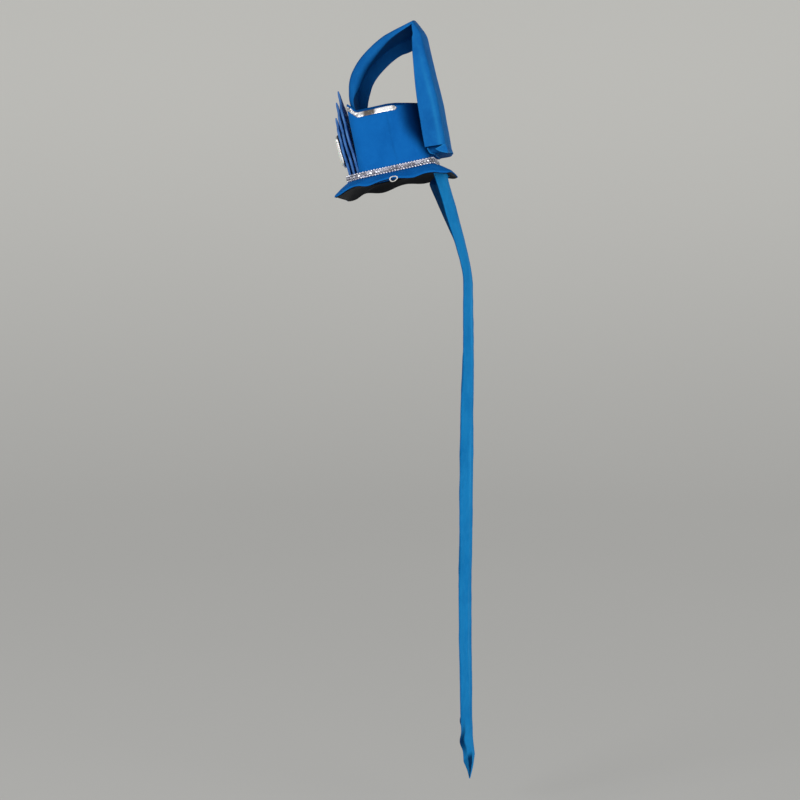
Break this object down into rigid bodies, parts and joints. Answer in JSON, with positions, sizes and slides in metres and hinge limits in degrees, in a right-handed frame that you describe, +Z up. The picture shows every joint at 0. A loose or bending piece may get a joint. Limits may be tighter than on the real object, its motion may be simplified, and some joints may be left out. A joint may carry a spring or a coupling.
{
  "type": "opera hat",
  "caption": "Blue stiffened-cloth stage hat: low crown with a tall peaked loop, cloud-shaped front plates with a pale stone, rhinestone braid, small brim and long pointed streamers.",
  "frame": {"origin": "middle of the opening at the crown's rim, where the hat sits on the head", "axes": "+Z up, -Y the way the wearer faces, +X the wearer's left; the hat leans 12 degrees forward and its streamers hang along -Z"},
  "size_m": [0.1871, 0.1952, 1.0411],
  "materials": {
    "crown_cloth": "satin-faced stiffened cloth",
    "loop_cloth": "satin-faced stiffened cloth",
    "plate_cloth": "satin-faced cloth over board",
    "streamer_cloth": "soft satin-faced cloth",
    "black_cloth": "matt lining",
    "silver_foil": "bright foil",
    "silver_braid": "rhinestones in bright settings",
    "pale_stone": "polished",
    "white_thread": "matt thread"
  },
  "bodies": {
    "root": {"crown": "crown_cloth", "rim_trim": "silver_foil", "loop_band": "loop_cloth", "plate_back": "plate_cloth", "plate_middle": "plate_cloth", "plate_front": "plate_cloth", "plaque_backing": "black_cloth", "plaque_bezel": "silver_foil", "plaque_stone": "pale_stone", "base_trim": "silver_braid", "brim": "crown_cloth", "brim_lining": "black_cloth", "streamer_left": "streamer_cloth", "streamer_right": "streamer_cloth", "tie_loop": "white_thread"}
  },
  "joints": []
}
